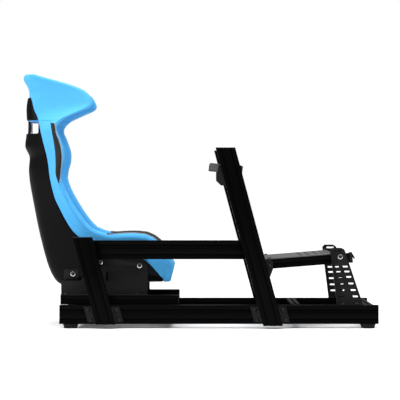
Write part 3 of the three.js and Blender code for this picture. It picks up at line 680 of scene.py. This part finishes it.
# %% End caps
def end_cap(name, centre, size, turn, body):
    bpy.ops.mesh.primitive_cube_add(size=1, location=(0, 0, 0))
    cap = bpy.context.object
    cap.name = name
    cap.scale = size
    settle(cap)
    bpy.ops.object.mode_set(mode="EDIT")
    mesh = bmesh.from_edit_mesh(cap.data)
    bpy.ops.mesh.select_all(action="DESELECT")
    for face in mesh.faces:
        face.select = abs(face.normal.x) > 0.5
    bmesh.update_edit_mesh(cap.data)
    bpy.ops.mesh.inset(thickness=0.004, depth=-0.0004)
    bpy.ops.object.mode_set(mode="OBJECT")
    bevel_edges(cap, 0.0007)
    smooth_by_angle(cap, 40)
    cap.data.transform(Matrix.Translation(Vector(centre)) @ Matrix.Rotation(turn, 4, "Y"))
    finish_piece(cap, body, black_plastic, "end_caps")


CAP = 0.0024             # thickness
for bar in ("base_rail_left", "base_rail_right", "seat_rail_left", "seat_rail_right", "upper_rail_right"):
    low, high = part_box(bar)
    size = (CAP, high[1] - low[1] - 0.001, high[2] - low[2] - 0.001)
    middle = middle_of(bar)
    for label, x in (("rear", low[0] - GAP - CAP / 2), ("front", high[0] + GAP + CAP / 2)):
        end_cap(f"{bar}_{label}_cap", (x, middle.y, middle.z), size, 0, "chassis")
for side, way in SIDES:
    spot = deck_start - deck_along * (GAP + CAP / 2) - deck_up * 0.02 + Vector((0, way * 0.225, 0))
    end_cap(f"pedal_rail_{side}_rear_cap", spot, (CAP, 0.039, 0.039), -PEDAL_SLOPE, "pedal_deck")

# %% [markdown]
# ## The bare bucket
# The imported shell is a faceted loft. Its triangles are paired back into quads and subdivided, which
# rounds the corner between floor and wall and softens the rim, as a moulded shell has.

# %% Shell
shell = shown_copy("seat_shell", "seat_shell_shown", flat=False)
only(shell)
bpy.ops.object.mode_set(mode="EDIT")
bpy.ops.mesh.select_all(action="SELECT")
bpy.ops.mesh.tris_convert_to_quads(face_threshold=math.radians(40), shape_threshold=math.radians(60))
bpy.ops.object.mode_set(mode="OBJECT")
apply_modifier(shell, "SUBSURF", levels=2, render_levels=2)
smooth_by_angle(shell, 60)
finish_piece(shell, "seat", gelcoat, "seat_shell", "seat_shell")
print("shell faces:", len(shell.data.polygons))

# %% [markdown]
# ## The sewn cover
# Bolsters, head wings and front roll are one cover stretched over foam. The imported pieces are
# joined, remeshed into one even skin and relaxed, which closes the gaps between them. The two
# loose cushions swell under pressure in a cloth simulation, because they are softer than the
# tight cover.

# %% Cover
def joined_copy(name, members):
    copies = [shown_copy(node, f"{node}_part", flat=False) for node in members]
    bpy.ops.object.select_all(action="DESELECT")
    for copy in copies:
        copy.select_set(True)
    bpy.context.view_layer.objects.active = copies[0]
    bpy.ops.object.join()
    piece = bpy.context.object
    piece.name = name
    return piece


def even_skin(piece, voxel, relax):
    only(piece)
    piece.data.remesh_voxel_size = voxel
    piece.data.use_remesh_fix_poles = False
    bpy.ops.object.voxel_remesh()
    apply_modifier(piece, "SMOOTH", factor=0.5, iterations=relax)


cover_nodes = ["headrest", "seat_front_roll"] + [
    f"{part}_{side}" for part in ("torso_bolster", "thigh_bolster") for side, _ in SIDES]
cover = joined_copy("seat_cover", cover_nodes)
even_skin(cover, 0.005, 6)
bpy.ops.object.shade_smooth()
print("cover faces:", len(cover.data.polygons))

# %% Cushions, swollen by cloth
def swell(piece, pressure, cap_distance):
    """Inflates a closed piece with cloth, and keeps each point near where it started."""
    start = [vertex.co.copy() for vertex in piece.data.vertices]
    only(piece)
    modifier = piece.modifiers.new("Cloth", "CLOTH")
    modifier.settings.use_pressure = True
    modifier.settings.uniform_pressure_force = pressure
    modifier.settings.effector_weights.gravity = 0
    modifier.settings.quality = 4
    modifier.settings.tension_stiffness = 12
    modifier.settings.bending_stiffness = 1.5
    modifier.point_cache.frame_start, modifier.point_cache.frame_end = 1, 20
    for step in range(1, 21):
        scene.frame_set(step)
    bpy.ops.object.modifier_apply(modifier=modifier.name)
    scene.frame_set(1)
    for vertex, before in zip(piece.data.vertices, start):
        move = vertex.co - before
        if move.length > cap_distance:
            vertex.co = before + move.normalized() * cap_distance


def cushion(node, name):
    piece = shown_copy(node, name, flat=False)
    even_skin(piece, 0.007, 4)
    swell(piece, 3.0, 0.005)
    apply_modifier(piece, "SMOOTH", factor=0.5, iterations=3)
    apply_modifier(piece, "SUBSURF", levels=1, render_levels=1)
    only(piece)
    bpy.ops.object.shade_smooth()
    return piece


seat_pad = cushion("seat_cushion", "seat_cushion_shown")
back_pad = cushion("back_cushion", "back_cushion_shown")
print("cushion faces:", len(seat_pad.data.polygons), len(back_pad.data.polygons))

# %% Sewn channels across the two cushions
def sew(piece, facing, along_axis, channels, half, depth=0.0035, spread=0.0045):
    """Pulls the skin down along straight seams: across at each channel, and along at +half and -half."""
    side = Vector(facing)
    moves = []
    for vertex in piece.data.vertices:
        place, aside = vertex.co[along_axis], abs(vertex.co.y)
        nearest = min(abs(place - channel) for channel in channels) if aside < half else 1.0
        if channels[0] - 0.03 < place < channels[-1] + 0.03:
            nearest = min(nearest, abs(aside - half))
        pull = depth * math.exp(-((nearest / spread) ** 2)) * max(vertex.normal.dot(side), 0)
        moves.append(vertex.co - vertex.normal * pull)
    for vertex, place in zip(piece.data.vertices, moves):
        vertex.co = place


seat_channels = [along(x) for x in range(70, 401, 55)]
back_channels = [z * mm for z in range(290, 746, 65)]
CHANNEL_HALF = 0.094     # from the middle to the seam along each side
sew(seat_pad, (0, 0, 1), 0, seat_channels, CHANNEL_HALF)
sew(back_pad, (1, 0, 0.2), 2, back_channels, CHANNEL_HALF)

# %% Covers and cushions ready
finish_piece(cover, "seat", blue_cloth, "seat_fabric", *cover_nodes)
finish_piece(seat_pad, "seat", blue_cloth, "seat_fabric", "seat_cushion")
finish_piece(back_pad, "seat", blue_cloth, "seat_fabric", "back_cushion")

# %% [markdown]
# ## Panels, piping and seams
# A flat strip is laid against the cover along rays, so it follows the stretched skin exactly, and
# then gets a thickness. Piping is a round tube along the strip's edge, and a seam is a thin thread
# half sunk in the cloth. They come after the remesh, which would swallow anything so thin.

# %% Laying things on the cover
def laid(point, direction, lift, skin=cover):
    hit, spot, normal, _ = skin.ray_cast(Vector(point), Vector(direction))
    if not hit:
        raise ValueError(f"nothing lies below {tuple(point)}")
    return spot + normal * lift


def smooth_line(points, count):
    """Even steps along a gentle curve through a few points."""
    curve = bpy.data.curves.new("guide", "CURVE")
    curve.dimensions = "3D"
    spline = curve.splines.new("BEZIER")
    spline.bezier_points.add(len(points) - 1)
    for knot, point in zip(spline.bezier_points, points):
        knot.co = point
        knot.handle_left_type = knot.handle_right_type = "AUTO"
    spline.resolution_u = 16
    guide = bpy.data.objects.new("guide", curve)
    scene.collection.objects.link(guide)
    only(guide)
    bpy.ops.object.convert(target="MESH")
    dense = [vertex.co.copy() for vertex in bpy.context.object.data.vertices]
    bpy.data.objects.remove(bpy.context.object, do_unlink=True)
    runs = [0.0]
    for before, after in zip(dense, dense[1:]):
        runs.append(runs[-1] + (after - before).length)
    line, place = [], 0
    for step in range(count):
        goal = runs[-1] * step / (count - 1)
        while place < len(runs) - 2 and runs[place + 1] < goal:
            place += 1
        share = (goal - runs[place]) / max(runs[place + 1] - runs[place], 1e-9)
        line.append(dense[place].lerp(dense[place + 1], min(max(share, 0), 1)))
    return line


def panel(name, first, second, direction, material, across=6, thick=0.0016, lift=0.0004,
          skin=cover, slot="seat_fabric"):
    """A strip between two lines, pressed against the cover along a direction."""
    bpy.ops.mesh.primitive_grid_add(x_subdivisions=across, y_subdivisions=len(first) - 1, size=1)
    strip = bpy.context.object
    strip.name = name
    width = across + 1
    for index, vertex in enumerate(strip.data.vertices):
        row, column = divmod(index, width)
        vertex.co = laid(first[row].lerp(second[row], column / across), direction, lift, skin)
    only(strip)
    bpy.ops.object.mode_set(mode="EDIT")
    bpy.ops.mesh.select_all(action="SELECT")
    bpy.ops.mesh.remove_doubles(threshold=0.0002)
    bpy.ops.mesh.normals_make_consistent(inside=False)
    bpy.ops.object.mode_set(mode="OBJECT")
    outward = sum((face.normal * face.area for face in strip.data.polygons), Vector())
    if outward.dot(Vector(direction)) > 0:
        strip.data.flip_normals()
    apply_modifier(strip, "SOLIDIFY", thickness=thick, offset=1)
    bevel_edges(strip, thick * 0.4, degrees=50)
    smooth_by_angle(strip, 60)
    finish_piece(strip, "seat", material, slot)
    return strip


def tube(name, runs, radius, material, body="seat", slot="seat_fabric", roundness=2):
    """A round tube along each run of points, as one piece."""
    curve = bpy.data.curves.new(name, "CURVE")
    curve.dimensions = "3D"
    for points in runs:
        spline = curve.splines.new("POLY")
        spline.points.add(len(points) - 1)
        for knot, point in zip(spline.points, points):
            knot.co = (*point, 1)
    curve.bevel_depth = radius
    curve.bevel_resolution = roundness
    curve.use_fill_caps = True
    piece = bpy.data.objects.new(name, curve)
    scene.collection.objects.link(piece)
    only(piece)
    bpy.ops.object.convert(target="MESH")
    piece = bpy.context.object
    only(piece)
    bpy.ops.object.mode_set(mode="EDIT")
    bpy.ops.mesh.select_all(action="SELECT")
    bpy.ops.mesh.remove_doubles(threshold=0.00001)
    bpy.ops.mesh.normals_make_consistent(inside=False)
    bpy.ops.object.mode_set(mode="OBJECT")
    smooth_by_angle(piece, 60)
    finish_piece(piece, body, material, slot)
    return piece


def stitches(name, points, direction, skin, length=0.0036, space=0.0022):
    """A row of short threads laid along a line."""
    total = sum((after - before).length for before, after in zip(points, points[1:]))
    count = max(int(total / (length + space)), 2)
    even = smooth_line(points, 3 * count)
    runs = [[laid(point, direction, 0.0003, skin) for point in even[3 * k:3 * k + 2]] for k in range(count)]
    tube(name, runs, 0.0005, pale_thread, roundness=0)


# %% Black inserts on the shoulders, with grey piping along their front edge
OUTSIDE = 0.34           # further out than any side of the seat, where a ray inwards starts
INSERT_ROWS = 34
INSERT_REAR = ((-44, 874), (-33, 821), (-23, 757), (-20, 693), (-19, 650), (-9, 616))
INSERT_FRONT = ((-25, 870), (-19, 830), (-4, 791), (5, 749), (6, 714), (-1, 663), (-5, 620))


def side_points(way, pairs):
    return [Vector((along(x), way * OUTSIDE, z * mm)) for x, z in pairs]


for side, way in SIDES:
    inward = (0, -way, 0)
    behind = smooth_line(side_points(way, INSERT_REAR), INSERT_ROWS)
    ahead = smooth_line(side_points(way, INSERT_FRONT), INSERT_ROWS)
    panel(f"shoulder_insert_{side}", behind, ahead, inward, black_cloth)
    edge = [laid(point, inward, 0.0012) for point in ahead]
    tube(f"shoulder_piping_{side}", [edge], 0.0019, piping_cloth)
    edge = [laid(point, inward, 0.0004) for point in behind]
    tube(f"shoulder_insert_seam_{side}", [edge], 0.0009, thread_cloth)

# %% Black bands over the thighs, with grey piping along the outer side
for side, way in SIDES:
    down, inward = (0, 0, -1), (0, -way, 0)
    crest = ((196, 0.186), (240, 0.178), (300, 0.174), (360, 0.172), (405, 0.166), (436, 0.158))
    inner = smooth_line([Vector((along(x), way * (y - 0.012), 0.6)) for x, y in crest], 30)
    outer = smooth_line([Vector((along(x), way * (y + 0.022), 0.6)) for x, y in crest], 30)
    panel(f"thigh_band_{side}", inner, outer, down, black_cloth)
    edge = [laid(point + Vector((0, way * 0.001, 0)), down, 0.0012) for point in outer]
    tube(f"thigh_piping_{side}", [edge], 0.0019, piping_cloth)
    edge = [laid(point, down, 0.0004) for point in inner]
    tube(f"thigh_band_seam_{side}", [edge], 0.0009, thread_cloth)

# %% Seams of the cover
for side, way in SIDES:
    inward = (0, -way, 0)
    seams = {
        "shoulder_cross": ((-86, 884), (-66, 885), (-41, 883)),
        "hip_long": ((14, 566), (44, 507), (76, 458), (110, 421), (150, 398), (185, 388)),
    }
    for label, pairs in seams.items():
        path = [laid(point, inward, 0.0001) for point in smooth_line(side_points(way, pairs), 40)]
        tube(f"seam_{label}_{side}", [path], 0.0008, thread_cloth)

# %% Stitches in the channels of the cushions
down, backward = (0, 0, -1), (-1, 0, 0)
STITCH_HALF = 0.086      # the stitches stop short of the long seams
for number, x in enumerate(seat_channels):
    line = [Vector((x, y, 0.5)) for y in (-STITCH_HALF, 0, STITCH_HALF)]
    stitches(f"seat_channel_{number}_stitches", line, down, seat_pad)
for number, z in enumerate(back_channels):
    line = [Vector((0.1, y, z)) for y in (-STITCH_HALF, 0, STITCH_HALF)]
    stitches(f"back_channel_{number}_stitches", line, backward, back_pad)
for side, way in SIDES:
    first, middle, last = seat_channels[0], seat_channels[3], seat_channels[-1]
    line = [Vector((x, way * CHANNEL_HALF, 0.5)) for x in (first, middle, last)]
    stitches(f"seat_long_stitches_{side}", line, down, seat_pad)
    first, middle, last = back_channels[0], back_channels[4], back_channels[-1]
    line = [Vector((0.1, way * CHANNEL_HALF, z)) for z in (first, middle, last)]
    stitches(f"back_long_stitches_{side}", line, backward, back_pad)

# %% [markdown]
# ## Fittings of the bucket
# Each harness slot has a lip that keeps the strap off the raw edge, and at the rear the shell has a
# flat plate over its threaded insert, with an M8 bolt in it.

# %% Harness slot lips and rear plates
def rounded_block(name, low, high, edge, body, material, slot):
    bpy.ops.mesh.primitive_cube_add(size=1, location=[(a + b) / 2 for a, b in zip(low, high)])
    block = bpy.context.object
    block.name = name
    block.scale = [b - a for a, b in zip(low, high)]
    settle(block)
    apply_modifier(block, "BEVEL", width=edge, segments=3)
    smooth_by_angle(block, 40)
    finish_piece(block, body, material, slot)
    return block


for side, way in SIDES:
    near, far = sorted((way * 0.071, way * 0.0749))
    rounded_block(f"harness_slot_lip_{side}", (along(-151), near, 0.8292), (along(-146), far, 0.8855), 0.0012,
                  "seat", black_plastic, "seat_shell")
    inward = (0, -way, 0)
    upper = smooth_line(side_points(way, ((11, 246), (42, 246), (74, 246))), 16)
    lower = smooth_line(side_points(way, ((11, 203), (42, 203), (74, 203))), 16)
    panel(f"rear_plate_{side}", lower, upper, inward, black_coat, across=10, thick=0.0025,
          skin=shell, slot="seat_shell")
    for z in (211, 239):
        rib = [laid(point, inward, 0.0028, shell) for point in
               smooth_line(side_points(way, ((16, z), (30, z), (44, z))), 10)]
        tube(f"rear_plate_rib_{z}_{side}", [rib], 0.0016, black_plastic, slot="seat_shell")
    seat_spot = laid((along(50), way * OUTSIDE, 0.227), inward, 0.0027, shell)
    washer(f"rear_plate_washer_{side}", seat_spot, (0, way, 0), WASHER_RADIUS, "seat", zinc)
    place_bolt(f"rear_plate_bolt_{side}", seat_spot + Vector((0, way * WASHER_THICK, 0)), (0, way, 0),
               "seat", black_bolt)

# %% Finish
bpy.data.objects.remove(bolt_pattern, do_unlink=True)
low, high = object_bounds()
